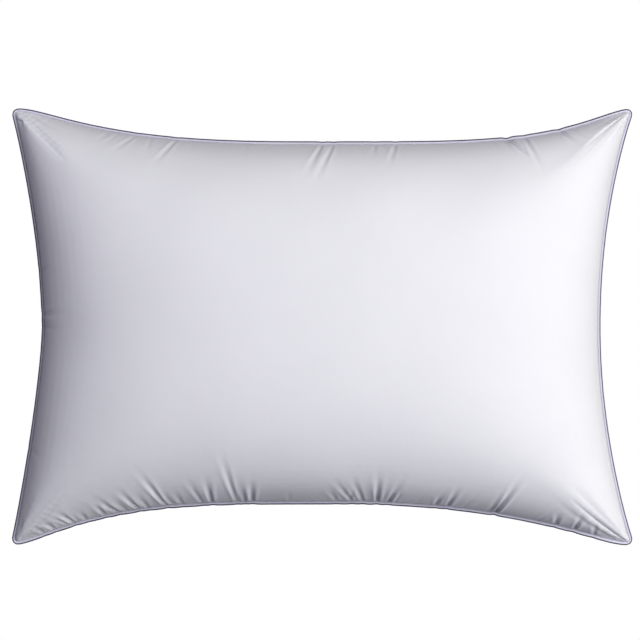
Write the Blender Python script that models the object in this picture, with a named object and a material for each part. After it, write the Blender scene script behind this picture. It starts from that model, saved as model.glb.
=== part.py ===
"""Bed pillow with a corded edge, lying flat on its back panel.

X runs along the pillow, Y across it and +Z up through its thickness. The origin is the middle
of the flat patch that it rests on. Everything is in metres.

Two cotton panels and a piping are joined by one seam round the edge. Two thinner walls, caught
in the folds of the panels, part the inside into a firm core and a soft layer on each face.
"""
import math

import bmesh
import bpy
from mathutils import Vector

# Overall size over the piping, measured to where the sides would meet if no corner were rounded
LENGTH = 0.693
WIDTH = 0.492
CROWN_FRONT = 0.099   # rise of the front panel above the seam
CROWN_BACK = 0.105    # drop of the back panel below the seam, before the floor flattens it
FLOOR_EASE = 0.015    # height over which the back panel rounds into its flat patch
SEAM_HEIGHT = 0.085   # height of the seam above the floor at the middle of each side
CORNER_DROOP = 0.008  # how much lower the four corners hang

# How far each side pulls in between its corners, and how square that curve is
PULL_LEFT, SQUARE_LEFT = 0.036, 1.6
PULL_RIGHT, SQUARE_RIGHT = 0.040, 2.6
PULL_TOP, SQUARE_TOP = 0.045, 3.0
PULL_BOTTOM, SQUARE_BOTTOM = 0.052, 2.5
CORNER_ROUND = 0.030   # share by which a corner's tip is drawn in towards the middle
CORNER_SHARP = 24      # how near the tip that rounding stays

# Shape of the crown
CROWN_SQUARE = 2.4    # exponent of the section along each axis
FULL_ALONG_X = 0.54   # below 1 the section bulges towards the seam
FULL_ALONG_Y = 0.66
CORNER_SHARE = 0.6    # 0 gives flat ears at the corners, 1 gives steep cones

# Cloth layers at the seam, from its mid plane outwards
CLOTH = 0.0004        # thickness of every cloth layer
GAP = 0.0003          # clearance between layers that touch
LIP_LOW = 0.00045     # inner face of a piping lip
LIP_HIGH = LIP_LOW + CLOTH
TURNING_LOW = LIP_HIGH + GAP
TURNING_HIGH = TURNING_LOW + CLOTH
WALL_LOW = TURNING_HIGH + GAP
TURNING_WIDTH = 0.009  # seam allowance that points inwards
FOLD_INNER = 0.0028    # how far inside the seam the two leaves of a fold part

# Piping
PIPING_RADIUS = 0.0019
PIPING_BORE = 0.00135
CORD_RADIUS = 0.00095
THREAD_RADIUS = 0.0002
ROUND_SIDES = 6        # facets round the piping, its cord and the closing thread
THREAD_SIDES = 4

# Chamber walls and fillings
WALL_INSET = 0.006     # the walls start this far inside the seam
WALL_CORNER = 0.06     # share by which the walls' corners are pulled towards the middle
WALL_CROWN_FRONT = 0.050
WALL_CROWN_BACK = 0.040
FILL_GAP = 0.0026      # clearance between a filling and the cloth round it
FILL_RIM = 0.0015      # thickness of a filling at its rim
RIM_DEPTH = 0.0065     # depth of a soft layer's rim below the cover
CORE_INSET = 0.016
LAYER_INSET = 0.014
FILL_CORNER = 0.09     # as WALL_CORNER, for the fillings
CORNER_TURN = 6        # how near a rounded corner's tip that pull stays

# Closing seam and care label
CLOSING_LENGTH = 0.150
CLOSING_INSET = 0.0030
CLOSING_RADIUS = 0.00035
CLOSING_CLEARANCE = 0.0009  # between the thread and the panel that it lies on
CLOSING_STEPS = 12
LABEL_WIDTH = 0.030
LABEL_LENGTH = 0.045
LABEL_LEAF = 0.0004
LABEL_LEAN = 0.05      # how far the label leans inwards for each metre that it hangs
LABEL_OFFSET_Y = -0.110
LABEL_ROOT = 0.0016    # how far inside the seam the label's top lies

# Mesh density: cells from the middle to each edge, along X and across Y
CELLS_X, CELLS_Y = 10, 7
SLOPE_STEP = 0.002     # coordinate step over which a surface's slope is measured

COVER_ROUGHNESS = 0.62
PIPING_ROUGHNESS = 0.6
WALL_ROUGHNESS = 0.75
FILL_ROUGHNESS = 0.95
CORD_ROUGHNESS = 0.9
THREAD_ROUGHNESS = 0.5
LABEL_ROUGHNESS = 0.55

HALF_X = LENGTH / 2 - 2 * PIPING_RADIUS
HALF_Y = WIDTH / 2 - 2 * PIPING_RADIUS
FRONT, BACK = 1, -1


# ---------------------------------------------------------------- form of the pillow

def half_length(u, v):
    """Distance from the middle to the seam along X, at the height v on the side that u is on."""
    pull, square = (PULL_RIGHT, SQUARE_RIGHT) if u > 0 else (PULL_LEFT, SQUARE_LEFT)
    return HALF_X - pull * (1 - abs(v) ** square)


def half_width(u, v):
    """Distance from the middle to the seam along Y, at the place u on the side that v is on."""
    pull, square = (PULL_TOP, SQUARE_TOP) if v > 0 else (PULL_BOTTOM, SQUARE_BOTTOM)
    return HALF_Y - pull * (1 - abs(u) ** square)


def plan(u, v):
    """Plan position of the pillow's own coordinates, which run from -1 to 1 each way."""
    drawn_in = 1 - CORNER_ROUND * abs(u * v) ** CORNER_SHARP
    return u * half_length(u, v) * drawn_in, v * half_width(u, v) * drawn_in


def crown(u, v):
    """Share of the full crown at u, v: 0 on the seam and 1 in the middle."""
    along_x = max(0.0, 1 - abs(u) ** CROWN_SQUARE) ** FULL_ALONG_X
    along_y = max(0.0, 1 - abs(v) ** CROWN_SQUARE) ** FULL_ALONG_Y
    if along_x + along_y == 0:
        return 0.0
    flat_eared = along_x * along_y
    steep_eared = 2 * along_x * along_y / (along_x + along_y)
    return flat_eared ** (1 - CORNER_SHARE) * steep_eared ** CORNER_SHARE


def seam_height(u, v):
    """Height of the seam's mid plane, carried on over the whole pillow."""
    return SEAM_HEIGHT - CORNER_DROOP * (u * v) ** 2


def rim_height(u, v):
    """Height of the seam at its nearest point, for what lies flat against it."""
    reach = max(abs(u), abs(v))
    return seam_height(u / reach, v / reach)


def settled(height):
    """Height of the pillow's own weight resting on the floor: flat, with a rounded approach."""
    if height > FLOOR_EASE:
        return height
    if height < -FLOOR_EASE:
        return 0.0
    return (height + FLOOR_EASE) ** 2 / (4 * FLOOR_EASE)


def skin(face, u, v):
    """Point on the outer surface of the front or back panel."""
    x, y = plan(u, v)
    rise = CROWN_FRONT if face == FRONT else CROWN_BACK
    z = seam_height(u, v) + face * (TURNING_LOW + rise * crown(u, v))
    return Vector((x, y, settled(z)))


def skin_inside(face, u, v, depth):
    """Point at a depth below the outer surface, measured square to it."""
    step = SLOPE_STEP
    along_u = skin(face, min(1, u + step), v) - skin(face, max(-1, u - step), v)
    along_v = skin(face, u, min(1, v + step)) - skin(face, u, max(-1, v - step))
    outwards = along_u.cross(along_v).normalized() * face
    return skin(face, u, v) - outwards * depth


def moved_in(u, v, inset):
    """Coordinates of a place on the seam, moved in by a distance."""
    return u * (1 - inset / HALF_X), v * (1 - inset / HALF_Y)


def lines(cells, half, inset=0.0):
    """Grid lines from -1 to 1 that crowd towards the seam.

    With an inset, the two outermost lines on each side give way to one at that distance from
    the seam, so that all nested layers share their inner lines and stay parallel.
    """
    steps = range(-cells, cells + 1)
    if not inset:
        return [math.sin(math.pi / 2 * k / cells) for k in steps]
    rim = 1 - inset / half
    inner = [math.sin(math.pi / 2 * k / cells) for k in steps if abs(k) <= cells - 2]
    return [-rim, *inner, rim]


# ---------------------------------------------------------------- mesh helpers

def add_grid(bm, us, vs, point, upwards):
    """Add a grid of triangles and return its outline, anticlockwise seen from above.

    Every cell is split along the diagonal that points away from the middle, so nested layers
    crease in the same places and can't pass through each other.
    """
    rows = [[bm.verts.new(point(u, v)) for u in us] for v in vs]
    for j, (low, high) in enumerate(zip(rows, rows[1:])):
        for k in range(len(low) - 1):
            a, b, c, d = low[k], low[k + 1], high[k + 1], high[k]
            points_away = (us[k] + us[k + 1]) * (vs[j] + vs[j + 1]) > 0
            halves = [(a, b, c), (a, c, d)] if points_away else [(a, b, d), (b, c, d)]
            for half in halves:
                bm.faces.new(half if upwards else half[::-1])
    return (rows[0] + [row[-1] for row in rows[1:]]
            + rows[-1][-2::-1] + [row[0] for row in rows[-2:0:-1]])


def join_loops(bm, first, second):
    """Join two closed loops of equal length with a band of faces."""
    for k in range(len(first)):
        n = (k + 1) % len(first)
        bm.faces.new((first[k], second[k], second[n], first[n]))


def finish(bm, name, colour, roughness):
    """Turn a bmesh into a named object with a material of its own."""
    bmesh.ops.recalc_face_normals(bm, faces=bm.faces)
    if bm.calc_volume(signed=True) < 0:
        bmesh.ops.reverse_faces(bm, faces=bm.faces)
    mesh = bpy.data.meshes.new(name)
    bm.to_mesh(mesh)
    bm.free()
    mesh.shade_smooth()
    mesh.set_sharp_from_angle(angle=math.radians(40))
    part = bpy.data.objects.new(name, mesh)
    bpy.context.collection.objects.link(part)
    material = bpy.data.materials.new(name + "_material")
    material.use_nodes = True
    shader = material.node_tree.nodes["Principled BSDF"]
    shader.inputs["Base Color"].default_value = (*colour, 1)
    shader.inputs["Roughness"].default_value = roughness
    shader.inputs["Metallic"].default_value = 0
    mesh.materials.append(material)
    return part


def rim_places():
    """Coordinates of the seam's points, anticlockwise from the bottom left corner."""
    us = lines(CELLS_X, HALF_X)
    vs = lines(CELLS_Y, HALF_Y)
    return ([(u, -1) for u in us] + [(1, v) for v in vs[1:]]
            + [(u, 1) for u in us[-2::-1]] + [(-1, v) for v in vs[-2:0:-1]])


def slab(name, inset, corner, top, bottom, colour, roughness):
    """Closed solid between two surfaces over one outline, which has rounded corners.

    Each surface is a function of u, v and whether that place is on the rim.
    """
    us = lines(CELLS_X, HALF_X, inset)
    vs = lines(CELLS_Y, HALF_Y, inset)

    def rounded(surface):
        def point(u, v):
            shrink = 1 - corner * (u / us[-1] * v / vs[-1]) ** CORNER_TURN
            on_rim = abs(u) == us[-1] or abs(v) == vs[-1]
            return surface(u * shrink, v * shrink, on_rim)
        return point

    bm = bmesh.new()
    upper = add_grid(bm, us, vs, rounded(top), upwards=True)
    lower = add_grid(bm, us, vs, rounded(bottom), upwards=False)
    join_loops(bm, upper, lower)
    return finish(bm, name, colour, roughness)


def circle(radius, sides, centre=0.0, start=-180.0, end=180.0):
    """Points of an arc in the plane of a seam section, as pairs (outwards, up)."""
    whole = end - start == 360.0
    count = sides if whole else sides + 1
    angles = [math.radians(start + (end - start) * k / sides) for k in range(count)]
    return [(centre + radius * math.cos(a), radius * math.sin(a)) for a in angles]


def seam_loop():
    """Places u, v of the seam, each with its outward direction in plan."""
    places = rim_places()
    points = [Vector((*plan(u, v), 0)) for u, v in places]
    loop = []
    for k, here in enumerate(points):
        before = here - points[k - 1]
        after = points[(k + 1) % len(points)] - here
        normals = [Vector((d.y, -d.x, 0)).normalized() for d in (before, after)]
        middle = (normals[0] + normals[1]).normalized()
        loop.append((*places[k], middle / middle.dot(normals[0])))
    return loop


def ring(name, profile, colour, roughness):
    """Sweep a section of pairs (outwards, up) round the seam as one closed band."""
    bm = bmesh.new()
    sections = []
    for u, v, out in seam_loop():
        section = []
        for reach, up in profile:
            inset = max(0.0, -reach)
            place = Vector((*plan(*moved_in(u, v, inset)), seam_height(u, v) + up))
            section.append(bm.verts.new(place + out * max(0.0, reach)))
        sections.append(section)
    for k, section in enumerate(sections):
        join_loops(bm, section, sections[(k + 1) % len(sections)])
    return finish(bm, name, colour, roughness)


def tube(name, points, radius, sides, colour, roughness):
    """Round bar with closed ends along a row of points that lies across X."""
    bm = bmesh.new()
    sections = []
    for here in points:
        section = [here + Vector((a, 0, b)) for a, b in circle(radius, sides)]
        sections.append([bm.verts.new(p) for p in section])
    for first, second in zip(sections, sections[1:]):
        join_loops(bm, first, second)
    bm.faces.new(sections[0])
    bm.faces.new(sections[-1][::-1])
    return finish(bm, name, colour, roughness)


# ---------------------------------------------------------------- sub-parts

def cover_panel(name, face, colour):
    """Outer panel: a thin shell that folds in at the seam and ends in a turning."""
    us = lines(CELLS_X, HALF_X)
    vs = lines(CELLS_Y, HALF_Y)

    def outer(u, v):
        return skin(face, u, v)

    def turning(u, v, inset, level):
        z = seam_height(u, v) + face * level
        return Vector((*plan(*moved_in(u, v, inset)), z))

    def inner(u, v):
        if abs(u) == 1 or abs(v) == 1:
            return turning(u, v, FOLD_INNER, TURNING_HIGH)
        return skin_inside(face, u, v, CLOTH)

    bm = bmesh.new()
    outside = add_grid(bm, us, vs, outer, upwards=face == FRONT)
    inside = add_grid(bm, us, vs, inner, upwards=face == BACK)
    rim = rim_places()
    near = [bm.verts.new(turning(u, v, TURNING_WIDTH, TURNING_LOW)) for u, v in rim]
    far = [bm.verts.new(turning(u, v, TURNING_WIDTH, TURNING_HIGH)) for u, v in rim]
    join_loops(bm, outside, near)
    join_loops(bm, near, far)
    join_loops(bm, far, inside)
    return finish(bm, name, colour, COVER_ROUGHNESS)


def wall_height(face, u, v, level):
    """Height of a chamber wall, level being the distance above its surface nearest the core."""
    rise = WALL_CROWN_FRONT if face == FRONT else WALL_CROWN_BACK
    share = crown(u / (1 - WALL_INSET / HALF_X), v / (1 - WALL_INSET / HALF_Y))
    return seam_height(u, v) + face * (WALL_LOW + rise * share + level)


def chamber_wall(name, face, colour):
    """Inner wall between the core and one soft layer, its rim caught in the cover's fold."""
    def surface(u, v, on_rim, level):
        if on_rim:
            z = rim_height(u, v) + face * (WALL_LOW + level)
        else:
            z = wall_height(face, u, v, level)
        return Vector((*plan(u, v), z))

    def near(u, v, on_rim):
        return surface(u, v, on_rim, 0)

    def far(u, v, on_rim):
        return surface(u, v, on_rim, CLOTH)

    top, bottom = (far, near) if face == FRONT else (near, far)
    return slab(name, WALL_INSET, WALL_CORNER, top, bottom, colour, WALL_ROUGHNESS)


def core_fill(name, colour):
    """Firm middle filling, between the two chamber walls."""
    def surface(face, u, v, on_rim):
        if on_rim:
            z = rim_height(u, v) + face * FILL_RIM / 2
        else:
            z = wall_height(face, u, v, -FILL_GAP)
        return Vector((*plan(u, v), z))

    return slab(name, CORE_INSET, FILL_CORNER, lambda *place: surface(FRONT, *place),
                lambda *place: surface(BACK, *place), colour, FILL_ROUGHNESS)


def soft_layer(name, face, colour):
    """Soft filling between one chamber wall and the cover panel on its side."""
    def at_cover(u, v, on_rim):
        return skin_inside(face, u, v, RIM_DEPTH if on_rim else CLOTH + FILL_GAP)

    def at_wall(u, v, on_rim):
        if on_rim:
            return at_cover(u, v, on_rim) - Vector((0, 0, face * FILL_RIM))
        return Vector((*plan(u, v), wall_height(face, u, v, CLOTH + FILL_GAP)))

    top, bottom = (at_cover, at_wall) if face == FRONT else (at_wall, at_cover)
    return slab(name, LAYER_INSET, FILL_CORNER, top, bottom, colour, FILL_ROUGHNESS)


def piping_strip(name, colour):
    """Cloth strip wrapped round the cord, with two lips that are sewn into the seam."""
    outer_angle = 180 - math.degrees(math.asin(LIP_HIGH / PIPING_RADIUS))
    inner_angle = 180 - math.degrees(math.asin(LIP_LOW / PIPING_BORE))
    profile = [(-TURNING_WIDTH, -LIP_HIGH)]
    profile += circle(PIPING_RADIUS, ROUND_SIDES, PIPING_RADIUS, -outer_angle, outer_angle)
    profile += [(-TURNING_WIDTH, LIP_HIGH), (-TURNING_WIDTH, LIP_LOW)]
    profile += circle(PIPING_BORE, ROUND_SIDES, PIPING_RADIUS, inner_angle, -inner_angle)
    profile += [(-TURNING_WIDTH, -LIP_LOW)]
    return ring(name, profile, colour, PIPING_ROUGHNESS)


def piping_cord(name, colour):
    """Filler cord inside the piping."""
    return ring(name, circle(CORD_RADIUS, ROUND_SIDES, PIPING_RADIUS), colour, CORD_ROUGHNESS)


def seam_thread(name, colour):
    """The seam's thread, between the piping's lips and close behind the cord."""
    return ring(name, circle(THREAD_RADIUS, THREAD_SIDES, -THREAD_RADIUS), colour, THREAD_ROUGHNESS)


def closing_thread(name, colour):
    """Top-stitching that closes the filling opening, on the back at the right-hand end."""
    points = []
    for k in range(CLOSING_STEPS + 1):
        y = CLOSING_LENGTH * (k / CLOSING_STEPS - 0.5)
        v = y / half_width(1, 1 if y > 0 else -1)
        u = 1 - CLOSING_INSET / HALF_X
        points.append(skin_inside(BACK, u, v, -CLOSING_CLEARANCE - CLOSING_RADIUS))
    return tube(name, points, CLOSING_RADIUS, ROUND_SIDES, colour, THREAD_ROUGHNESS)


def care_label(name, colour):
    """Blank folded label that hangs from the seam beside the back panel's left end."""
    leaf = LABEL_LEAF
    section = [(0, 0), (LABEL_LENGTH, 0), (LABEL_LENGTH, 3 * leaf), (0, 3 * leaf),
               (0, 2 * leaf), (LABEL_LENGTH - leaf, 2 * leaf), (LABEL_LENGTH - leaf, leaf), (0, leaf)]
    bm = bmesh.new()
    ends = []
    for y in (LABEL_OFFSET_Y - LABEL_WIDTH / 2, LABEL_OFFSET_Y + LABEL_WIDTH / 2):
        v = y / half_width(-1, -1)
        x = plan(-1, v)[0] - LABEL_ROOT
        top = seam_height(-1, v) - PIPING_RADIUS - GAP
        ends.append([bm.verts.new((x + LABEL_LEAN * down + out, y, top - down))
                     for down, out in section])
    join_loops(bm, ends[0], ends[1])
    for end in ends:
        bm.faces.new([end[k] for k in (0, 1, 6, 7)])
        bm.faces.new([end[k] for k in (1, 2, 5, 6)])
        bm.faces.new([end[k] for k in (2, 3, 4, 5)])
    return finish(bm, name, colour, LABEL_ROUGHNESS)


def build():
    """Clear the file and make every sub-part."""
    for old in list(bpy.data.objects):
        bpy.data.objects.remove(old, do_unlink=True)
    white = (0.86, 0.86, 0.90)
    ecru = (0.84, 0.82, 0.77)
    cover_panel("front_cover_panel", FRONT, white)
    cover_panel("back_cover_panel", BACK, white)
    piping_strip("piping_strip", (0.84, 0.84, 0.90))
    piping_cord("piping_cord", ecru)
    seam_thread("perimeter_seam_thread", white)
    closing_thread("closing_seam_thread", white)
    chamber_wall("front_chamber_wall", FRONT, ecru)
    chamber_wall("back_chamber_wall", BACK, ecru)
    soft_layer("front_down_layer", FRONT, (0.93, 0.92, 0.89))
    core_fill("core_fill", (0.88, 0.86, 0.82))
    soft_layer("back_down_layer", BACK, (0.93, 0.92, 0.89))
    care_label("care_label", (0.90, 0.90, 0.91))


build()
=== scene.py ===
"""Bed pillow with a corded edge, lying flat and seen from straight above.

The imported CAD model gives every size. The pillow's own coordinates u, v run from -1 to 1 along
X and Y. One grid of these carries the form, and the covers, the piping, the seams and the
fillings all follow it. Everything is in metres.
"""

import math

import bpy
import numpy as np
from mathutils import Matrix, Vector


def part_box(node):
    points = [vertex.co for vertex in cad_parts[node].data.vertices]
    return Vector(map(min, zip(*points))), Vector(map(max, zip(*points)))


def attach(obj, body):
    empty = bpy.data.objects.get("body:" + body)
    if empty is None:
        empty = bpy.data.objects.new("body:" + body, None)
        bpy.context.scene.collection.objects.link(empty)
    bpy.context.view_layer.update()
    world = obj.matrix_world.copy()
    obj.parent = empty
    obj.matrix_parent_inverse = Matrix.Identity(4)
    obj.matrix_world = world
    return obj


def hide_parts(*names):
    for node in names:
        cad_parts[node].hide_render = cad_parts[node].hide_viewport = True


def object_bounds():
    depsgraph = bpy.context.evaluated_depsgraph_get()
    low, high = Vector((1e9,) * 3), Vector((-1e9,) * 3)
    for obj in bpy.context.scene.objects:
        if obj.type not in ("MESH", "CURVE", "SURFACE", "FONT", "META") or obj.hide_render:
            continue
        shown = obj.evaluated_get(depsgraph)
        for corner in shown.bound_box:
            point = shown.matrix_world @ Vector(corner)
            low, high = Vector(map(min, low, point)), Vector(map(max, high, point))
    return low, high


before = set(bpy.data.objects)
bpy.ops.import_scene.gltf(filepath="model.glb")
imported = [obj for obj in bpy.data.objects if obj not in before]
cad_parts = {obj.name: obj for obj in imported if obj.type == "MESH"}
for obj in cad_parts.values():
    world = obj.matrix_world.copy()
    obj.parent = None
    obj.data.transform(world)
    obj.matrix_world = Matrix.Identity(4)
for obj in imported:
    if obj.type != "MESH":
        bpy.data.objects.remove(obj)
CAD_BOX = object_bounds()

# ---------------------------------------------------------------- sizes read from the frame

LOW, HIGH = CAD_BOX
THREAD_RADIUS = 0.0002                              # of the seam thread in the CAD
thread_low, thread_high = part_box("perimeter_seam_thread")
SEAM_Z = thread_high.z - THREAD_RADIUS              # height of the seam at mid side
DROOP = thread_high.z - thread_low.z - 2 * THREAD_RADIUS   # the corners hang this much lower
piping_low, piping_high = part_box("piping_strip")
PIPING_RADIUS = (piping_high.z - piping_low.z - DROOP) / 2
CUT_X, CUT_Y = 0.0027, 0.0070                       # rounding takes this off each corner's reach
HALF_X = (HIGH.x - LOW.x) / 2 + CUT_X - 2 * PIPING_RADIUS
HALF_Y = (HIGH.y - LOW.y) / 2 + CUT_Y - 2 * PIPING_RADIUS
CROWN_FRONT = HIGH.z - SEAM_Z
CROWN_BACK = 0.105                                  # before its weight flattens it
FLOOR_EASE = 0.012                                  # height over which the underside rounds off

TURNING = 0.009                                     # seam allowance
FRONT, BACK = 1, -1

# How far each side pulls in, and how square that curve is on its low and on its high half
PULLS = {
    "top": (0.0435, 2.9, 4.1),
    "bottom": (0.052, 3.4, 2.4),
    "left": (0.0355, 1.42, 1.7),
    "right": (0.0385, 1.95, 2.05),
}
PULL_BLEND = 0.6           # width of the stretch in which one half's curve becomes the other's
CORNER_X, CORNER_Y = (0.010, 60), (0.030, 24)   # share drawn in at the corner, and how abruptly
CROWN_SQUARE = 2.4         # exponent of the section along each axis
FULL_ALONG_X, FULL_ALONG_Y = 0.54, 0.66   # below 1 the section bulges towards the seam
CORNER_SHARE = 0.6         # 0 gives flat ears at the corners, 1 gives steep cones

SIM_CELLS = (120, 86)      # cells of the simulated cloth, along and across
FINE_CELLS = (480, 200)    # cells of the finished panels
CROWD_X, CROWD_Y = 0.25, 0.75   # 0 spaces grid lines evenly, 1 crowds them towards the seam

# Puckers where the panel is gathered into the seam, listed one by one:
# (place along the side from -1 to 1, reach inwards, depth, sideways lean for each metre inwards)
PUCKERS = {
    "top": [
        (-0.60, 0.017, 0.0006, -1.00), (-0.47, 0.020, 0.0010, -0.70), (0.00, 0.022, 0.0013, -0.50),
        (0.035, 0.028, 0.0011, -0.45), (0.17, 0.012, 0.0005, -0.30), (0.235, 0.018, 0.0008, -0.35),
        (0.595, 0.017, 0.0036, 0.95), (0.65, 0.034, 0.0012, 0.35), (0.765, 0.013, 0.0020, 0.90),
    ],
    "bottom": [
        (-0.90, 0.010, 0.0008, -0.70), (-0.865, 0.012, 0.0010, -0.60), (-0.80, 0.014, 0.0017, -0.80),
        (-0.76, 0.010, 0.0008, -0.50), (-0.70, 0.015, 0.0010, -0.50), (-0.655, 0.018, 0.0012, -0.90),
        (-0.59, 0.018, 0.0017, -0.70), (-0.56, 0.013, 0.0010, -0.50), (-0.50, 0.028, 0.0021, -0.60),
        (-0.45, 0.014, 0.0006, -0.40), (-0.385, 0.020, 0.0010, -0.45),
        (-0.355, 0.020, 0.0020, -0.15), (-0.275, 0.038, 0.0014, -0.25), (-0.25, 0.016, 0.0013, -0.15),
        (-0.225, 0.018, 0.0017, 0.00), (0.045, 0.012, 0.0008, -0.50), (0.095, 0.018, 0.0013, -0.70),
        (0.13, 0.020, 0.0014, -0.40), (0.175, 0.024, 0.0018, 0.00), (0.21, 0.020, 0.0015, 0.45),
        (0.365, 0.010, 0.0009, 0.20), (0.40, 0.018, 0.0014, 0.40), (0.555, 0.032, 0.0026, 0.50),
        (0.75, 0.011, 0.0012, 0.10), (0.81, 0.016, 0.0016, 0.35), (0.875, 0.011, 0.0010, 0.00),
    ],
    "left": [(0.055, 0.016, 0.0010, 0.10), (0.00, 0.012, 0.0007, -0.20), (0.25, 0.010, 0.0006, 0.20),
             (-0.55, 0.012, 0.0005, -0.60)],
    "right": [(0.42, 0.012, 0.0004, 0.40), (-0.30, 0.012, 0.0004, -0.30)],
}
PUCKER_WIDTH = 0.0022      # half width of a crease, before its flare
PUCKER_FLARE = (0.7, 1.4)  # share of that width at the seam and at the pucker's reach
PUCKER_FADE = 1.3          # a pucker's height falls to exp(-1.3) at its reach
PUCKER_STRENGTH = 1.5      # all depths are scaled by this
PUCKER_START = 0.0016      # distance from the seam over which a pucker grows to its depth
SHOULDER_PLACE, SHOULDER_WIDTH = 1.8, 0.9   # beside the valley, in a crease's half widths
SHOULDER_HEIGHT = 0.5      # as a share of the valley's depth
SEAM_NOTCH = 0.45          # share of a pucker's depth by which it draws the seam in
NOTCH_WIDTH, NOTCH_REACH = 0.0035, 0.006    # along the seam and inwards
GATHER_DEPTH = {"top": 0.00022, "bottom": 0.00045, "left": 0.00016, "right": 0.00012}
GATHER_REACH = 0.014
DEPTH_RANGE, REACH_RANGE = (0.3, 1.6), (0.6, 1.6)   # as shares of those two
GATHERS_PER_METRE = 34
GATHER_END = 0.93          # no small pucker stands nearer a corner than this place
GATHER_LEAN, LEAN_SPREAD = 1.2, 0.3   # at a corner, and how much the leans vary
BACK_SHARE, BACK_SHIFT = 0.93, 0.05   # the back's puckers: places drawn in, then shifted

WAVES, WAVE_SIZE, WAVE_HEIGHT = 7, 0.11, 0.0012   # broad unevenness of the filling
WAVE_RANGE = (0.7, 1.5)    # shortest and longest wave, as shares of WAVE_SIZE
EDGE_LIFT = 0.0006         # each panel's edge lies this far from the seam's mid plane

# Piping, its cord and the seam's thread
SEAM_STEP = 0.0009         # spacing of points along the seam
LINE_SMOOTHING, OUT_SMOOTHING = 6, 8   # rounds of smoothing for the line and its directions
WRAP_ANGLE, WRAP_POINTS = 160, 15   # the strip wraps its cord this far to each side, in degrees
STRIP_CUT, STRIP_LIP, LIP_LEVEL = 0.018, 0.003, 0.0002
STRIP_TWIST, TWIST_LAY = 0.022, 4.3   # share of the radius, and seam steps for a turn
STRIP_SWELL, SWELL_RATE = 0.012, 0.37   # share of the radius, and radians for a seam step
PAINTED_SHADE_START, PAINTED_SHADE_BLEND = 0.05, 0.30   # cosine where the painted shade on the strip's outer flank starts, and rise to full
CORD_RADIUS, CORD_POINTS = 0.0010, 10
CORD_STRANDS, CORD_LAY = 0.12, 7      # share of the radius, and seam steps for a turn
LOCKSTITCH, STITCH_WAVE, THREAD_INSET, THREAD_POINTS = 0.0025, 0.00015, 0.0006, 5

# Stitches of the closing seam
STITCH_PITCH, STITCH_RADIUS, STITCH_INSET = 0.0032, 0.00032, 0.0035
STITCH_HALF, STITCH_SLANT = 0.33, 0.0005   # half length as a share of the pitch, and sideways
STITCH_TIP, STITCH_BOW = 0.45, 1.2    # radius at its ends and height of its bow, in radii
STITCH_SIDES, STITCH_STEPS = 6, 6
STITCH_PROBE = 0.004       # step in u that finds the cloth's direction

# Care label
LABEL_LEAF, LABEL_CURL, LABEL_RIPPLE = 0.0004, 0.0035, 0.0008
LABEL_DEPTH = 3 * LABEL_LEAF   # both leaves and the gap between them
LABEL_BEND = 0.9 * math.pi   # angle of the sine that its curl follows
LABEL_LEAN = 0.5           # share of the slope of the CAD label's box
LABEL_ROOT = 0.0004        # its top lies this far inside the seam line
LABEL_STEPS, LABEL_COLUMNS = 22, 8

# Inner layers. Insets count cells of the covers, and lumps are counted along and across a layer
LAYER_STEP = 4             # they use every fourth grid line of the covers
FILL_INSET, FILL_LUMPS = 22, (22, 16)
RIM_CELLS, RIM_THICKNESS = 5, 0.45   # a filling thins to this share over its outer cells
WALL_INSET, WALL_LUMPS, WALL_LUMP = 8, (26, 18), 0.0006
WALL_FREE = 0.06           # where the covers are this far apart, a wall is at its waviest

FLOOR_SIZE, SURROUND_RADIUS = 34, 16
FLOOR_GAP = 0.0004         # keeps the floor clear of the flat underside
SHADOW_REACH, SHADOW_END, SHADOW_TINT = 0.045, 0.85, (0.42, 0.42, 0.46, 1)
CAMERA_HEIGHT, CAMERA_MIDDLE = 2.5, (-0.0027, 0.0074)
VIEW_SHARE = 1.0294        # width of the view for each metre of the pillow's length

random = np.random.default_rng(11)


# ---------------------------------------------------------------- form of the pillow

def crowded(a, crowding):
    """Pillow coordinate of an even grid coordinate: the grid lines crowd towards the seam."""
    return (1 - crowding) * a + crowding * np.sin(np.pi * a / 2)


def side_pull(side, t):
    """How far a side stands in from the straight line between its corners, at its place t."""
    pull, square_low, square_high = PULLS[side]
    share = np.clip(0.5 + t / PULL_BLEND, 0, 1)
    share = share * share * (3 - 2 * share)
    return pull * (1 - np.abs(t) ** (square_low + (square_high - square_low) * share))


def half_length(u, v):
    """Distance from the middle to the seam along X."""
    right = (u + 1) / 2
    return HALF_X - side_pull("right", v) * right - side_pull("left", v) * (1 - right)


def half_width(u, v):
    """Distance from the middle to the seam along Y."""
    top = (v + 1) / 2
    return HALF_Y - side_pull("top", u) * top - side_pull("bottom", u) * (1 - top)


def plan(u, v):
    """Plan position of pillow coordinates."""
    tip = np.abs(u * v)
    x = u * half_length(u, v) * (1 - CORNER_X[0] * tip ** CORNER_X[1])
    y = v * half_width(u, v) * (1 - CORNER_Y[0] * tip ** CORNER_Y[1])
    return x, y


def seam_height(u, v):
    """Height of the seam, which droops towards the corners."""
    return SEAM_Z - DROOP * (u * v) ** 2


def crown(u, v):
    """Share of the full crown: 0 on the seam and 1 in the middle."""
    along_x = np.clip(1 - np.abs(u) ** CROWN_SQUARE, 0, 1) ** FULL_ALONG_X
    along_y = np.clip(1 - np.abs(v) ** CROWN_SQUARE, 0, 1) ** FULL_ALONG_Y
    steep = 2 * along_x * along_y / np.maximum(along_x + along_y, 1e-9)
    return (along_x * along_y) ** (1 - CORNER_SHARE) * steep ** CORNER_SHARE


def pillow_grid(cells):
    """Pillow coordinates of a grid, as arrays of rows along X."""
    a, b = np.meshgrid(np.linspace(-1, 1, cells[0] + 1), np.linspace(-1, 1, cells[1] + 1))
    return crowded(a, CROWD_X), crowded(b, CROWD_Y)


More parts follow.
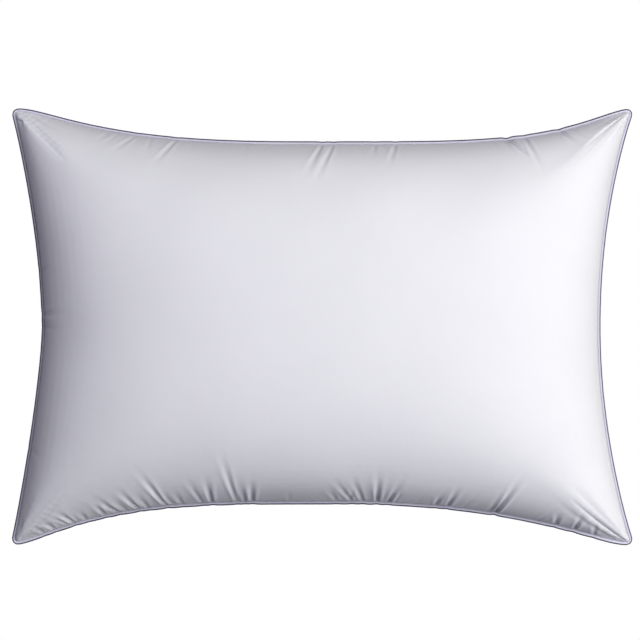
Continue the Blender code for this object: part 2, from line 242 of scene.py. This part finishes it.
def smooth_form(face, u, v):
    """Points of one face before any pucker or simulation."""
    x, y = plan(u, v)
    rise = CROWN_FRONT if face == FRONT else CROWN_BACK
    return np.stack([x, y, seam_height(u, v) + face * rise * crown(u, v)], axis=-1)


def outward_normals(points, face):
    """Unit normals of a grid of points, pointing out of the pillow."""
    along = np.gradient(points, axis=1)
    across = np.gradient(points, axis=0)
    normal = np.cross(along, across) * face
    return normal / np.maximum(np.linalg.norm(normal, axis=-1, keepdims=True), 1e-12)


def side_frame(side, u, v):
    """Distance in from a side's seam and distance along it from mid side, seen from above."""
    x, y = plan(u, v)
    if side == "top":
        return (1 - v) * half_width(u, v), x
    if side == "bottom":
        return (1 + v) * half_width(u, v), x
    if side == "left":
        return (1 + u) * half_length(u, v), y
    return (1 - u) * half_length(u, v), y


def half_side(side):
    """Distance from a side's middle to its corners."""
    return HALF_X if side in ("top", "bottom") else HALF_Y


def crease(inwards, along, start, reach, lean):
    """A pucker's height: a valley between two soft shoulders, which fades inwards."""
    narrow, wide = PUCKER_FLARE
    width = PUCKER_WIDTH * (narrow + (wide - narrow) * inwards / reach)
    across = (along - start - lean * inwards) / width
    valley = -np.exp(-across ** 2)
    beside = (np.abs(across) - SHOULDER_PLACE) / SHOULDER_WIDTH
    shoulders = SHOULDER_HEIGHT * np.exp(-beside ** 2)
    rise = 1 - np.exp(-inwards / PUCKER_START)
    fade = np.exp(-PUCKER_FADE * (inwards / reach) ** 2)
    return (valley + shoulders) * (rise * fade)


def gathers(side):
    """Small random puckers along a whole side, as tuples like those of PUCKERS."""
    count = int(2 * half_side(side) * GATHERS_PER_METRE)
    places = random.uniform(-GATHER_END, GATHER_END, count)
    depths = GATHER_DEPTH[side] * random.uniform(*DEPTH_RANGE, count)
    reaches = GATHER_REACH * random.uniform(*REACH_RANGE, count)
    leans = places * GATHER_LEAN + random.normal(0, LEAN_SPREAD, count)
    return list(zip(places, reaches, depths, leans))


def back_puckers(side):
    """The unseen face's puckers: as many as the front has, each at a place of its own."""
    return [(place * BACK_SHARE + random.uniform(-BACK_SHIFT, BACK_SHIFT), reach, depth, lean)
            for place, reach, depth, lean in PUCKERS[side]]


def pucker_height(puckers, u, v):
    """Sum of all puckers as a height above the smooth face."""
    height = np.zeros_like(u)
    for side, creases in puckers.items():
        inwards, along = side_frame(side, u, v)
        for place, reach, depth, lean in creases:
            start = place * half_side(side)
            height += PUCKER_STRENGTH * depth * crease(inwards, along, start, reach, lean)
    return height


def seam_notches(u, v):
    """How far the seam is drawn in by the puckers of the front, as a plan vector."""
    shift = np.zeros(u.shape + (3,))
    inward = {"top": (0, -1, 0), "bottom": (0, 1, 0), "left": (1, 0, 0), "right": (-1, 0, 0)}
    for side, creases in PUCKERS.items():
        inwards, along = side_frame(side, u, v)
        for place, _, depth, _ in creases:
            near = np.exp(-((along - place * half_side(side)) / NOTCH_WIDTH) ** 2)
            size = SEAM_NOTCH * depth * near * np.exp(-inwards / NOTCH_REACH)
            shift += size[..., None] * np.array(inward[side], float)
    return shift


def soft_waves(u, v):
    """Broad shallow unevenness of the filling, from a few random waves."""
    x, y = plan(u, v)
    total = np.zeros_like(u)
    for _ in range(WAVES):
        angle, phase = random.uniform(0, math.tau, 2)
        length = WAVE_SIZE * random.uniform(*WAVE_RANGE)
        total += np.sin((x * math.cos(angle) + y * math.sin(angle)) * math.tau / length + phase)
    return total * WAVE_HEIGHT / WAVES * crown(u, v) ** 0.5


def settled(points):
    """The same points with the underside flattened on the floor, with a rounded approach."""
    z = points[..., 2]
    eased = np.where(z > FLOOR_EASE, z,
                     np.where(z < -FLOOR_EASE, 0, (z + FLOOR_EASE) ** 2 / (4 * FLOOR_EASE)))
    return np.concatenate([points[..., :2], eased[..., None]], axis=-1)


# ---------------------------------------------------------------- cloth simulation

def simulated_shift(start, frames=12, cap=0.006):
    """Let the sewn cover swell under its filling, and return how far each point moves.

    start holds the front and back grids. They share the seam, which stays pinned.
    """
    front, back = start
    rows, columns = front.shape[:2]
    count = rows * columns
    index = np.arange(count).reshape(rows, columns)
    inner = np.zeros((rows, columns), bool)
    inner[1:-1, 1:-1] = True
    back_index = index.copy()
    back_index[inner] = count + np.arange(inner.sum())
    points = np.concatenate([front.reshape(-1, 3), back[inner]])
    faces = np.concatenate([quads(index), quads(back_index)[:, ::-1]])

    mesh = bpy.data.meshes.new("cover_simulation")
    mesh.from_pydata(points.tolist(), [], faces.tolist())
    body = bpy.data.objects.new("cover_simulation", mesh)
    bpy.context.scene.collection.objects.link(body)
    seam = body.vertex_groups.new(name="seam")
    seam.add(index[~inner].tolist(), 1.0, "REPLACE")

    cloth = body.modifiers.new("cloth", "CLOTH")
    settings = cloth.settings
    settings.vertex_group_mass = "seam"
    settings.quality = 5
    settings.mass = 0.15
    settings.tension_stiffness = settings.compression_stiffness = 12
    settings.shear_stiffness = 4
    settings.bending_stiffness = 0.3
    settings.use_pressure = True
    settings.uniform_pressure_force = 5
    settings.effector_weights.gravity = 0
    cloth.collision_settings.use_collision = False
    cloth.point_cache.frame_start, cloth.point_cache.frame_end = 1, frames
    for step in range(1, frames + 1):
        bpy.context.scene.frame_set(step)
    result = body.evaluated_get(bpy.context.evaluated_depsgraph_get()).to_mesh()
    moved = np.empty(len(points) * 3)
    result.vertices.foreach_get("co", moved)
    bpy.data.objects.remove(body, do_unlink=True)
    bpy.context.scene.frame_set(1)

    shift = moved.reshape(-1, 3) - points
    size = np.linalg.norm(shift, axis=1, keepdims=True)
    shift *= np.minimum(1, cap / np.maximum(size, 1e-9))
    return shift[index], shift[back_index]


def resampled(field, cells):
    """A grid of vectors at a finer spacing, along smooth curves through its values."""
    for axis, count in ((1, cells[0]), (0, cells[1])):
        rows = np.moveaxis(field, axis, 0)
        last = rows.shape[0] - 1
        place = np.linspace(0, last, count + 1)
        k = np.minimum(place.astype(int), last - 1)
        t = (place - k)[:, None, None]
        p0, p1 = rows[np.maximum(k - 1, 0)], rows[k]
        p2, p3 = rows[k + 1], rows[np.minimum(k + 2, last)]
        curve = 0.5 * (2 * p1 + (p2 - p0) * t + (2 * p0 - 5 * p1 + 4 * p2 - p3) * t ** 2
                       + (3 * p1 - p0 - 3 * p2 + p3) * t ** 3)
        field = np.moveaxis(curve, 0, axis)
    return field


# ---------------------------------------------------------------- mesh helpers

def quads(index):
    """Faces of a grid of vertex numbers, anticlockwise seen from above."""
    return np.stack([index[:-1, :-1], index[:-1, 1:], index[1:, 1:], index[1:, :-1]],
                    axis=-1).reshape(-1, 4)


def band(index):
    """Faces between rings of vertex numbers; each row is one ring, and its ends are joined."""
    return quads(np.concatenate([index, index[:, :1]], axis=1))


def make_piece(name, points, faces, material, node):
    """A smooth mesh object that rides on the body and stands for one CAD node."""
    mesh = bpy.data.meshes.new(name)
    mesh.from_pydata(np.reshape(points, (-1, 3)).tolist(), [], [tuple(face) for face in faces])
    mesh.validate()
    mesh.shade_smooth()
    mesh.materials.append(material)
    piece = bpy.data.objects.new(name, mesh)
    bpy.context.scene.collection.objects.link(piece)
    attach(piece, "root")
    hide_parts(node)
    return piece


def rim_of(grid):
    """The outline of a grid of points, anticlockwise seen from above."""
    return np.concatenate([grid[0], grid[1:, -1], grid[-1, -2::-1], grid[-2:0:-1, 0]])


def evenly_spaced(loop, step):
    """A closed line again, with points a fixed step apart."""
    closed = np.concatenate([loop, loop[:1]])
    along = np.concatenate([[0], np.cumsum(np.linalg.norm(np.diff(closed, axis=0), axis=1))])
    count = int(along[-1] / step)
    at = np.arange(count) * along[-1] / count
    return np.stack([np.interp(at, along, closed[:, k]) for k in range(closed.shape[1])], axis=1)


def smoothed(loop, times):
    """A closed line with its smallest kinks rounded off."""
    for _ in range(times):
        loop = (np.roll(loop, 1, 0) + 2 * loop + np.roll(loop, -1, 0)) / 4
    return loop


def outward_of(loop):
    """Outward plan direction at each point of a closed anticlockwise line."""
    tangent = np.roll(loop, -2, 0) - np.roll(loop, 2, 0)
    out = np.stack([tangent[:, 1], -tangent[:, 0], 0 * tangent[:, 0]], axis=1)
    return out / np.linalg.norm(out, axis=1, keepdims=True)


# ---------------------------------------------------------------- materials

WAVE_PERIOD = 0.314        # a wave texture repeats after this distance at a scale of 1
ROUGHNESS_SPREAD = 0.07    # how much slubs change the roughness either way


def new_material(name, roughness, sheen, sheen_roughness):
    """A material with its constant finish on the shader's own sockets."""
    material = bpy.data.materials.new(name)
    material.use_nodes = True
    shader = material.node_tree.nodes["Principled BSDF"]
    shader.inputs["Roughness"].default_value = roughness
    shader.inputs["Sheen Weight"].default_value = sheen
    shader.inputs["Sheen Roughness"].default_value = sheen_roughness
    shader.inputs["Specular IOR Level"].default_value = 0.3
    return material, material.node_tree, shader


def add_node(tree, kind, links=(), **values):
    """A node with its settings and values, and links from other nodes' outputs to its inputs."""
    node = tree.nodes.new(kind)
    for key, value in values.items():
        if hasattr(node, key):
            setattr(node, key, value)
        else:
            node.inputs[key.replace("_", " ")].default_value = value
    for socket, source in dict(links).items():
        tree.links.new(source, node.inputs[socket])
    return node


def cloth_material(name, dark, light, roughness, pitch, weave, wrinkle, wrinkle_size, sheen=0.15,
                   painted_shade=None):
    """Plain-woven cloth: crossing threads, faint slubs, colour variation and fine wrinkles.

    pitch is the distance between threads, and weave and wrinkle are heights. The last argument is a
    dark colour painted in as shade, mixed in where the piece's point attribute of the same name is 1.
    """
    material, tree, shader = new_material(name, roughness, sheen, 0.45)
    place = tree.nodes.new("ShaderNodeTexCoord").outputs["Object"]
    warp = add_node(tree, "ShaderNodeTexWave", {"Vector": place}, wave_type="BANDS",
                    bands_direction="X", Scale=WAVE_PERIOD / pitch, Distortion=0.6, Detail=1.0)
    weft = add_node(tree, "ShaderNodeTexWave", {"Vector": place}, wave_type="BANDS",
                    bands_direction="Y", Scale=WAVE_PERIOD / pitch, Distortion=0.6, Detail=1.0)
    threads = add_node(tree, "ShaderNodeMath", operation="MULTIPLY")
    tree.links.new(warp.outputs["Fac"], threads.inputs[0])
    tree.links.new(weft.outputs["Fac"], threads.inputs[1])
    slubs = add_node(tree, "ShaderNodeTexNoise", {"Vector": place}, Scale=420.0, Detail=3.0)
    creases = add_node(tree, "ShaderNodeTexNoise", {"Vector": place},
                       Scale=1 / wrinkle_size, Detail=4.0, Roughness=0.55)
    shade = add_node(tree, "ShaderNodeTexNoise", {"Vector": place}, Scale=9.0, Detail=4.0)
    ramp = add_node(tree, "ShaderNodeValToRGB", {"Fac": shade.outputs["Fac"]})
    ramp.color_ramp.elements[0].position, ramp.color_ramp.elements[1].position = 0.3, 0.7
    ramp.color_ramp.elements[0].color, ramp.color_ramp.elements[1].color = (*dark, 1), (*light, 1)
    colour = ramp.outputs["Color"]
    # painted shade: a dark colour mixed into the cloth where a point attribute says so
    if painted_shade:
        share = add_node(tree, "ShaderNodeAttribute", attribute_name="painted_shade")
        mix = add_node(tree, "ShaderNodeMixRGB", {"Fac": share.outputs["Fac"], "Color1": colour},
                       Color2=(*painted_shade, 1))
        colour = mix.outputs["Color"]
    tree.links.new(colour, shader.inputs["Base Color"])
    finish = add_node(tree, "ShaderNodeMapRange", {"Value": slubs.outputs["Fac"]})
    finish.inputs["To Min"].default_value = roughness - ROUGHNESS_SPREAD
    finish.inputs["To Max"].default_value = roughness + ROUGHNESS_SPREAD
    tree.links.new(finish.outputs["Result"], shader.inputs["Roughness"])
    fold = add_node(tree, "ShaderNodeBump", {"Height": creases.outputs["Fac"]},
                    Strength=1.0, Distance=wrinkle)
    slub = add_node(tree, "ShaderNodeBump",
                    {"Height": slubs.outputs["Fac"], "Normal": fold.outputs["Normal"]},
                    Strength=1.0, Distance=weave / 2)
    woven = add_node(tree, "ShaderNodeBump",
                     {"Height": threads.outputs["Value"], "Normal": slub.outputs["Normal"]},
                     Strength=1.0, Distance=weave)
    tree.links.new(woven.outputs["Normal"], shader.inputs["Normal"])
    return material


def fibre_material(name, dark, light, size, depth):
    """Loose filling or twisted cord: soft clumps of fibre with a rough, uneven surface."""
    material, tree, shader = new_material(name, 0.95, 0.4, 0.6)
    place = tree.nodes.new("ShaderNodeTexCoord").outputs["Object"]
    clumps = add_node(tree, "ShaderNodeTexNoise", {"Vector": place},
                      Scale=1 / size, Detail=8.0, Roughness=0.7, Distortion=0.8)
    ramp = add_node(tree, "ShaderNodeValToRGB", {"Fac": clumps.outputs["Fac"]})
    ramp.color_ramp.elements[0].color, ramp.color_ramp.elements[1].color = (*dark, 1), (*light, 1)
    tree.links.new(ramp.outputs["Color"], shader.inputs["Base Color"])
    bump = add_node(tree, "ShaderNodeBump", {"Height": clumps.outputs["Fac"]},
                    Strength=1.0, Distance=depth)
    tree.links.new(bump.outputs["Normal"], shader.inputs["Normal"])
    return material


COVER_COTTON = cloth_material(
    "cover_cotton", (0.795, 0.79, 0.82), (0.825, 0.82, 0.85), roughness=0.62,
    pitch=0.0009, weave=0.00003, wrinkle=0.00022, wrinkle_size=0.012)
# the piping carries a dark painted shade on the outer flank of its strip
PIPING_COTTON = cloth_material(
    "piping_cotton", (0.71, 0.70, 0.82), (0.78, 0.77, 0.87), roughness=0.6,
    pitch=0.0007, weave=0.00003, wrinkle=0.00010, wrinkle_size=0.004, painted_shade=(0.06, 0.05, 0.11))
WALL_COTTON = cloth_material(
    "wall_cotton", (0.78, 0.76, 0.70), (0.84, 0.82, 0.77), roughness=0.75,
    pitch=0.0010, weave=0.00004, wrinkle=0.0004, wrinkle_size=0.015)
LABEL_SATIN = cloth_material(
    "label_satin", (0.86, 0.86, 0.87), (0.91, 0.91, 0.92), roughness=0.42,
    pitch=0.0005, weave=0.00002, wrinkle=0.0001, wrinkle_size=0.006, sheen=0.3)
THREAD = fibre_material("thread_twist", (0.76, 0.76, 0.82), (0.86, 0.86, 0.91),
                        size=0.0008, depth=0.00005)
CORD = fibre_material("cord_twist", (0.74, 0.72, 0.66), (0.86, 0.84, 0.79),
                      size=0.0015, depth=0.0001)
DOWN = fibre_material("down_clusters", (0.86, 0.85, 0.82), (0.95, 0.94, 0.92),
                      size=0.012, depth=0.002)
FEATHER = fibre_material("feather_mix", (0.74, 0.72, 0.68), (0.90, 0.88, 0.84),
                         size=0.018, depth=0.003)


# ---------------------------------------------------------------- covers

def finished_faces():
    """The front and back as fine grids of points, simulated, puckered and settled."""
    u, v = pillow_grid(SIM_CELLS)
    start = [smooth_form(face, u, v) for face in (FRONT, BACK)]
    front_set = {side: PUCKERS[side] + gathers(side) for side in PUCKERS}
    back_set = {side: back_puckers(side) + gathers(side) for side in PUCKERS}
    waves = [soft_waves(u, v) for _ in (FRONT, BACK)]
    for k, face in enumerate((FRONT, BACK)):
        start[k] = start[k] + outward_normals(start[k], face) * waves[k][..., None]
    shifts = simulated_shift(start)

    fine_u, fine_v = pillow_grid(FINE_CELLS)
    finished = []
    for k, (face, puckers) in enumerate(((FRONT, front_set), (BACK, back_set))):
        smooth = smooth_form(face, u, v)
        points = smooth_form(face, fine_u, fine_v)
        points = points + resampled(start[k] - smooth + shifts[k], FINE_CELLS)
        normals = outward_normals(points, face)
        points = points + normals * pucker_height(puckers, fine_u, fine_v)[..., None]
        finished.append(settled(points + seam_notches(fine_u, fine_v)))
    return finished


def panel(name, face, grid, node):
    """One cover panel: the visible cloth and the turning that it folds into at the seam."""
    u, v = pillow_grid(FINE_CELLS)
    rows, columns = u.shape
    index = np.arange(rows * columns).reshape(rows, columns)
    rim = rim_of(index)
    rim_u, rim_v = u.ravel()[rim], v.ravel()[rim]
    turned = []
    for inset in (TURNING / 3, TURNING):
        in_u, in_v = rim_u * (1 - inset / HALF_X), rim_v * (1 - inset / HALF_Y)
        x, y = plan(in_u, in_v)
        turned.append(np.stack([x, y, seam_height(rim_u, rim_v) + face * EDGE_LIFT], axis=-1))
    points = grid.reshape(-1, 3).copy()
    points[rim, 2] += face * EDGE_LIFT
    count = len(points)
    rings = np.stack([rim, count + np.arange(len(rim)), count + len(rim) + np.arange(len(rim))])
    faces = np.concatenate([quads(index), band(rings)[:, ::-1]])
    if face == BACK:
        faces = faces[:, ::-1]
    piece = make_piece(name, np.concatenate([points, *turned]), faces, COVER_COTTON,
                       node)


# ---------------------------------------------------------------- seam and piping

def sweep(loop, out, profile):
    """Rings of points round a closed line; a profile row is (outwards, up) for every ring."""
    up = np.array([0, 0, 1.0])
    return loop[:, None] + out[:, None] * profile[..., :1] + up * profile[..., 1:]


def piping(seam):
    """The cloth strip round its cord, with two lips sewn into the seam, and the seam's thread."""
    line = smoothed(evenly_spaced(seam, SEAM_STEP), LINE_SMOOTHING)
    out = smoothed(outward_of(line), OUT_SMOOTHING)
    out /= np.linalg.norm(out, axis=1, keepdims=True)
    along = np.arange(len(line))[:, None]
    piping_strip(line, out, along)

    core_angles = np.linspace(0, math.tau, CORD_POINTS, endpoint=False)
    strands = np.cos(2 * core_angles + along * math.tau / CORD_LAY)
    core_radius = CORD_RADIUS * (1 + CORD_STRANDS * strands)
    core = np.stack([PIPING_RADIUS + core_radius * np.cos(core_angles),
                     core_radius * np.sin(core_angles)], axis=-1)
    closed_tube("piping_cord_twist", sweep(line, out, core), CORD, "piping_cord")

    stitch = STITCH_WAVE * np.sin(along * math.tau * SEAM_STEP / LOCKSTITCH)
    inset = np.full_like(stitch, -THREAD_INSET)
    thread_angles = np.linspace(0, math.tau, THREAD_POINTS, endpoint=False)
    thread = np.stack([inset + THREAD_RADIUS * np.cos(thread_angles),
                       stitch + THREAD_RADIUS * np.sin(thread_angles)], axis=-1)
    closed_tube("perimeter_lockstitch", sweep(line, out, thread), THREAD,
                "perimeter_seam_thread")


def piping_strip(line, out, along):
    """The piping's cloth: slightly uneven round its cord, with shade painted dark on its outward
    flank.
    """
    angles = np.radians(np.linspace(-WRAP_ANGLE, WRAP_ANGLE, WRAP_POINTS))
    twist = STRIP_TWIST * np.sin(along * math.tau / TWIST_LAY + angles)
    swell = STRIP_SWELL * np.sin(along * SWELL_RATE)
    radius = PIPING_RADIUS * (1 + twist + swell)
    ring = np.stack([PIPING_RADIUS + radius * np.cos(angles), radius * np.sin(angles)], axis=-1)
    lips = np.array([[-STRIP_LIP, -LIP_LEVEL], [-STRIP_LIP / 2, -LIP_LEVEL]])
    low = np.repeat(lips[None], len(line), 0)
    high = low[:, ::-1] * [1, -1]
    points = sweep(line, out, np.concatenate([low, ring, high], axis=1))
    count, width = points.shape[:2]
    index = np.arange(count * width).reshape(count, width)
    index = np.concatenate([index, index[:1]])
    strip = make_piece("piping_strip_cloth", points, quads(index), PIPING_COTTON,
                       "piping_strip")
    # painted shade: the strip's outward-facing flank, all round the pillow, is coloured dark in place
    # of its shading
    painted_shade = np.zeros(width)
    painted_shade[2:-2] = np.clip((np.cos(angles) - PAINTED_SHADE_START) / PAINTED_SHADE_BLEND, 0, 1)
    shares = strip.data.attributes.new("painted_shade", "FLOAT", "POINT")
    shares.data.foreach_set("value", np.tile(painted_shade, count))


def closed_tube(name, points, material, node):
    """A round piece that runs once round the seam and joins itself."""
    count, width = points.shape[:2]
    index = np.arange(count * width).reshape(count, width)
    index = np.concatenate([index, index[:1]])
    make_piece(name, points, band(index), material, node)


def surface_at(grid, u, v):
    """Point of a finished face at pillow coordinates, between its grid points."""
    a = crowded(np.linspace(-1, 1, FINE_CELLS[0] + 1), CROWD_X)
    b = crowded(np.linspace(-1, 1, FINE_CELLS[1] + 1), CROWD_Y)
    column = np.interp(u, a, np.arange(len(a)))
    row = np.interp(v, b, np.arange(len(b)))
    i, j = min(int(row), len(b) - 2), min(int(column), len(a) - 2)
    s, t = row - i, column - j
    low = grid[i, j] * (1 - t) + grid[i, j + 1] * t
    high = grid[i + 1, j] * (1 - t) + grid[i + 1, j + 1] * t
    return low * (1 - s) + high * s


def closing_stitches(back):
    """A row of short slanted stitches that closes the filling opening, under the right end."""
    low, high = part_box("closing_seam_thread")
    u = 1 - STITCH_INSET / HALF_X
    points, faces = [], []
    for k in range(int((high.y - low.y) / STITCH_PITCH)):
        middle_y = low.y + (k + 0.5) * STITCH_PITCH
        ends = []
        for way in (-1, 1):
            v = (middle_y + way * STITCH_HALF * STITCH_PITCH) / half_width(1.0, 0.0)
            ends.append(surface_at(back, u + way * STITCH_SLANT / HALF_X, v))
        across = surface_at(back, u - STITCH_PROBE, v) - surface_at(back, u, v)
        outside = np.cross(across, ends[1] - ends[0])
        outside *= -np.sign(outside[2]) / np.linalg.norm(outside)
        index = len(points) + np.arange((STITCH_STEPS + 1) * STITCH_SIDES)
        index = index.reshape(STITCH_STEPS + 1, STITCH_SIDES)
        points += stitch_points(ends, outside)
        faces += [*band(index), index[0][::-1], index[-1]]
    make_piece("closing_stitches", points, faces, THREAD,
               "closing_seam_thread")


def stitch_points(ends, outside):
    """Rings of points of one stitch, which bows outside between its ends and thins at them."""
    axis = ends[1] - ends[0]
    side = np.cross(axis, outside)
    side /= np.linalg.norm(side)
    points = []
    for t in np.arange(STITCH_STEPS + 1) / STITCH_STEPS:
        bow = math.sin(math.pi * t)
        swell = STITCH_RADIUS * (STITCH_TIP + (1 - STITCH_TIP) * bow)
        centre = ends[0] + axis * t + outside * (STITCH_RADIUS * STITCH_BOW * bow)
        for angle in math.tau * np.arange(STITCH_SIDES) / STITCH_SIDES:
            points.append(centre + swell * (side * math.cos(angle) + outside * math.sin(angle)))
    return points


def care_label():
    """The blank label: one ribbon folded in half, hanging from the seam with a slight curl."""
    low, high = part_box("care_label")
    width, length = high.y - low.y, high.z - low.z
    lean = (high.x - low.x) / length * LABEL_LEAN
    v = (low.y + high.y) / 2 / half_width(-1.0, 0.0)
    root = float(plan(-1.0, v)[0]) + LABEL_ROOT
    down = np.linspace(0, length, LABEL_STEPS)
    curl = LABEL_CURL * np.sin(down / length * LABEL_BEND)
    front_leaf = np.stack([down, curl], axis=1)
    back_leaf = np.stack([down[::-1], curl[::-1] + LABEL_DEPTH], axis=1)
    path = np.concatenate([front_leaf, back_leaf])
    count = len(path)
    inner = path.copy()
    inner[:LABEL_STEPS, 1] += LABEL_LEAF
    inner[LABEL_STEPS:, 1] -= LABEL_LEAF
    section = np.concatenate([path, inner[::-1]])
    points = np.empty((LABEL_COLUMNS + 1, len(section), 3))
    for k, y in enumerate(np.linspace(low.y, high.y, LABEL_COLUMNS + 1)):
        ripple = LABEL_RIPPLE * math.sin(k / LABEL_COLUMNS * math.pi) * section[:, 0] / length
        points[k, :, 0] = root + lean * section[:, 0] + section[:, 1] + ripple
        points[k, :, 1] = y
        points[k, :, 2] = high.z - section[:, 0]
    index = np.arange(points.shape[0] * points.shape[1]).reshape(points.shape[:2])
    faces = list(band(index))
    for row, flip in ((index[0], False), (index[-1], True)):
        for k in range(count - 1):
            cap = [row[k], row[k + 1], row[2 * count - 2 - k], row[2 * count - 1 - k]]
            faces.append(cap if flip else cap[::-1])
    piece = make_piece("care_label_ribbon", points, faces, LABEL_SATIN,
                       "care_label")


# ---------------------------------------------------------------- inside

def layer_between(grids, share, inset):
    """A grid of points at a share of the way from the back to the front, short of the seam."""
    cut = slice(inset, -inset, LAYER_STEP)
    high, low = (grid[cut, cut] for grid in grids)
    return low + (high - low) * share


def lumps(shape, counts, height):
    """Smooth random unevenness over a grid, with so many lumps along and across it."""
    rough = random.normal(0, 1, (counts[1], counts[0], 1))
    return resampled(rough, (shape[1] - 1, shape[0] - 1))[..., 0] * height


def filling(name, grids, shares, material, node, lump):
    """One lumpy stuffed layer between two shares of the pillow's thickness."""
    bottom, top = (layer_between(grids, share, FILL_INSET) for share in shares)
    rows, columns = top.shape[:2]
    edge = np.minimum.outer(np.minimum(np.arange(rows), np.arange(rows)[::-1]),
                            np.minimum(np.arange(columns), np.arange(columns)[::-1]))
    fade = np.clip(edge / RIM_CELLS, 0, 1)
    middle = (top + bottom) / 2
    pinch = (RIM_THICKNESS + (1 - RIM_THICKNESS) * fade)[..., None]
    thick = (top - bottom)[..., 2]
    top = middle + (top - middle) * pinch
    bottom = middle + (bottom - middle) * pinch
    for side in (top, bottom):
        side[..., 2] += lumps(side.shape[:2], FILL_LUMPS, lump) * fade * thick
    count = rows * columns
    index = np.arange(count).reshape(rows, columns)
    rims = np.stack([rim_of(index), rim_of(index) + count])
    faces = np.concatenate([quads(index), quads(index + count)[:, ::-1],
                            band(rims)[:, ::-1]])
    points = np.concatenate([top.reshape(-1, 3), bottom.reshape(-1, 3)])
    piece = make_piece(name, points, faces, material, node)


def chamber_wall(name, grids, share, node):
    """One inner cotton wall, slightly wavy where the fillings press on it."""
    grid = layer_between(grids, share, WALL_INSET)
    apart = (layer_between(grids, 1, WALL_INSET) - layer_between(grids, 0, WALL_INSET))[..., 2]
    grid[..., 2] += lumps(grid.shape[:2], WALL_LUMPS, WALL_LUMP) * np.clip(apart / WALL_FREE, 0, 1)
    index = np.arange(grid.shape[0] * grid.shape[1]).reshape(grid.shape[:2])
    piece = make_piece(name, grid, quads(index), WALL_COTTON, node)


# ---------------------------------------------------------------- stage, light and camera

def stage_material(name, shaded):
    """White paper that gives off its own light; shaded adds a soft contact shadow."""
    material = bpy.data.materials.new(name)
    material.use_nodes = True
    tree = material.node_tree
    tree.nodes.clear()
    glow = add_node(tree, "ShaderNodeEmission", Strength=1.0)
    output = tree.nodes.new("ShaderNodeOutputMaterial")
    if shaded:
        hollow = add_node(tree, "ShaderNodeAmbientOcclusion", Distance=SHADOW_REACH)
        ramp = add_node(tree, "ShaderNodeValToRGB", {"Fac": hollow.outputs["AO"]})
        ramp.color_ramp.elements[0].color = SHADOW_TINT
        ramp.color_ramp.elements[1].color = (1, 1, 1, 1)
        ramp.color_ramp.elements[1].position = SHADOW_END
        tree.links.new(ramp.outputs["Color"], glow.inputs["Color"])
    tree.links.new(glow.outputs["Emission"], output.inputs["Surface"])
    return material


def add_stage():
    """A pale floor and a pale surround, both seen only by the camera."""
    bpy.ops.mesh.primitive_plane_add(size=FLOOR_SIZE, location=(0, 0, -FLOOR_GAP))
    floor = bpy.context.object
    floor.name = "floor"
    floor.data.materials.append(stage_material("floor_paper", shaded=True))
    bpy.ops.mesh.primitive_uv_sphere_add(segments=48, ring_count=24, radius=SURROUND_RADIUS)
    surround = bpy.context.object
    surround.name = "surround"
    surround.data.materials.append(stage_material("surround_paper", shaded=False))
    for thing in (floor, surround):
        thing.visible_diffuse = thing.visible_glossy = thing.visible_shadow = False
        thing.visible_transmission = thing.visible_volume_scatter = False


def add_light(name, place, size, energy, colour):
    """A square soft light that faces the pillow."""
    lamp = bpy.data.lights.new(name, "AREA")
    lamp.size, lamp.energy, lamp.color = size, energy, colour
    holder = bpy.data.objects.new(name, lamp)
    bpy.context.scene.collection.objects.link(holder)
    holder.location = place
    aim = Vector((0, 0, SEAM_Z)) - Vector(place)
    holder.rotation_euler = aim.to_track_quat("-Z", "Y").to_euler()


def add_lights():
    """Soft lights from above, mostly from the right, and a weak one for the floor's reflection."""
    add_light("key", (1.1, 1.1, 2.69), size=2.4, energy=66.5, colour=(0.95, 0.955, 1.0))
    add_light("side", (2.38, 0.0, 1.99), size=2.4, energy=41.5, colour=(1.0, 0.97, 0.80))
    add_light("low_side", (1.68, -1.68, 1.99), size=2.4, energy=32.5, colour=(0.785, 0.805, 1.0))
    add_light("fill", (-2.43, 1.41, 1.31), size=2.4, energy=21.9, colour=(0.83, 0.815, 1.0))
    add_light("floor_bounce", (0.3, 0.0, -1.6), size=3.0, energy=26, colour=(0.97, 0.97, 1.0))
    world = bpy.data.worlds.new("studio")
    bpy.context.scene.world = world
    world.use_nodes = True
    background = world.node_tree.nodes["Background"]
    background.inputs["Color"].default_value = (0.80, 0.80, 1.0, 1)
    background.inputs["Strength"].default_value = 0.01


def add_camera():
    """Straight above the pillow, which fills nearly the whole width of the view."""
    view_width = (HIGH.x - LOW.x) * VIEW_SHARE
    camera = bpy.data.cameras.new("camera")
    holder = bpy.data.objects.new("camera", camera)
    bpy.context.scene.collection.objects.link(holder)
    holder.location = (*CAMERA_MIDDLE, CAMERA_HEIGHT)
    camera.lens = camera.sensor_width * (CAMERA_HEIGHT - SEAM_Z) / view_width
    bpy.context.scene.camera = holder
    bpy.context.scene.view_settings.view_transform = "Standard"


# ---------------------------------------------------------------- build

add_camera()
grids = finished_faces()
front_grid, back_grid = grids
panel("front_cover_cloth", FRONT, front_grid, "front_cover_panel")
panel("back_cover_cloth", BACK, back_grid, "back_cover_panel")
piping(rim_of(front_grid))
closing_stitches(back_grid)
care_label()
filling("core_fill_feather", grids, (0.33, 0.66), FEATHER, "core_fill",
        lump=0.035)
filling("front_down_layer_fill", grids, (0.73, 0.965), DOWN, "front_down_layer",
        lump=0.02)
filling("back_down_layer_fill", grids, (0.035, 0.26), DOWN, "back_down_layer",
        lump=0.02)
chamber_wall("front_chamber_wall_cloth", grids, 0.695, "front_chamber_wall")
chamber_wall("back_chamber_wall_cloth", grids, 0.295, "back_chamber_wall")
add_stage()
add_lights()
